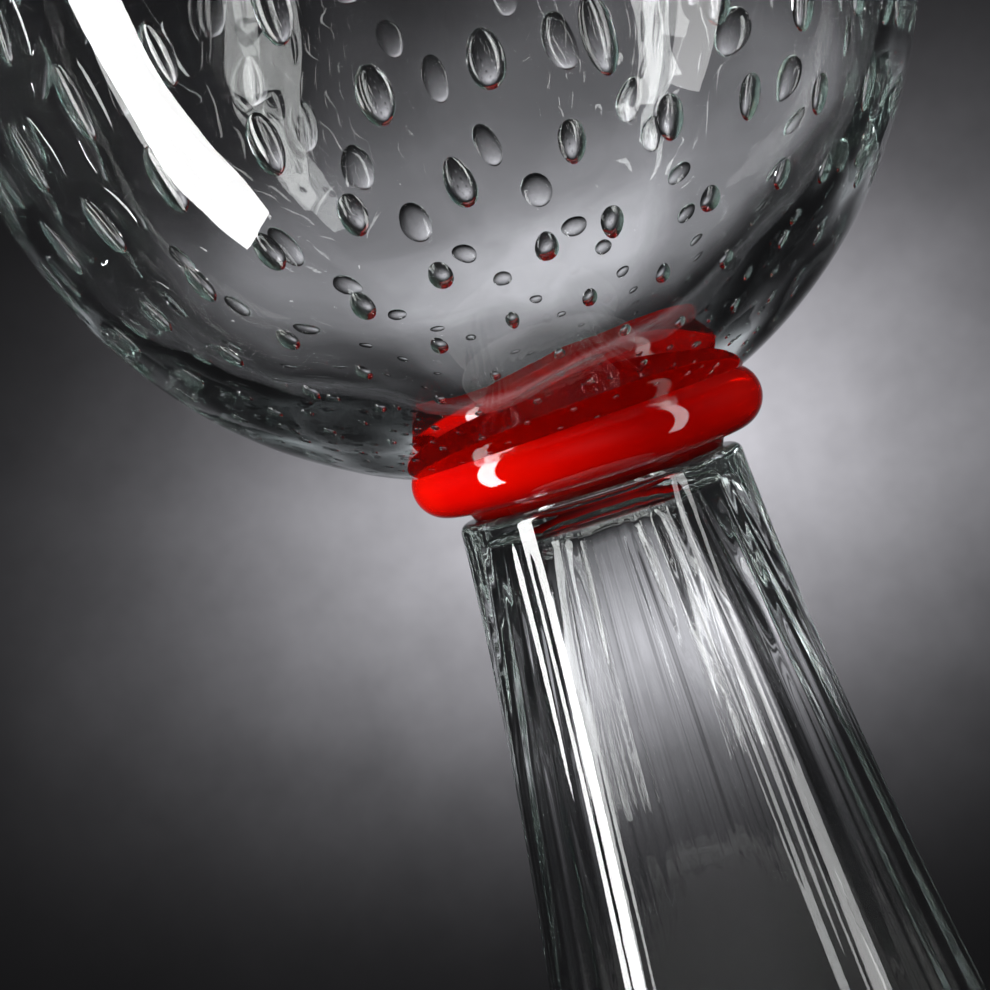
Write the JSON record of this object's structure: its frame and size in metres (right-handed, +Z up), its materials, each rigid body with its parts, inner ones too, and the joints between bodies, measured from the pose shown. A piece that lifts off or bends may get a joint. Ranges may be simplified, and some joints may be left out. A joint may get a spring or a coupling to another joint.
{
  "type": "footed glass vase",
  "caption": "Footed vase of hand blown clear glass: a thick globe with rows of trapped air bubbles, a thick red glass ring round its short neck and a hollow flared foot.",
  "frame": {"origin": "straight below the bowl's centre, in the plane of the flat ground rim under the foot", "axes": "+Z up along the bowl's axis, from the foot to the mouth; +X is the way the foot, the neck and the ring stand off that axis, by 3.7 mm; Y is level and square to both"},
  "size_m": [0.1898, 0.1898, 0.3463],
  "materials": {
    "clear_glass": "fire polished, clear, with a faint green tint in thick glass",
    "red_glass": "fire polished, deep transparent red"
  },
  "bodies": {
    "root": {"bowl_inner_gather": "clear_glass", "bowl_outer_casing": "clear_glass", "neck": "clear_glass", "red_ring": "red_glass", "foot": "clear_glass"}
  },
  "joints": []
}
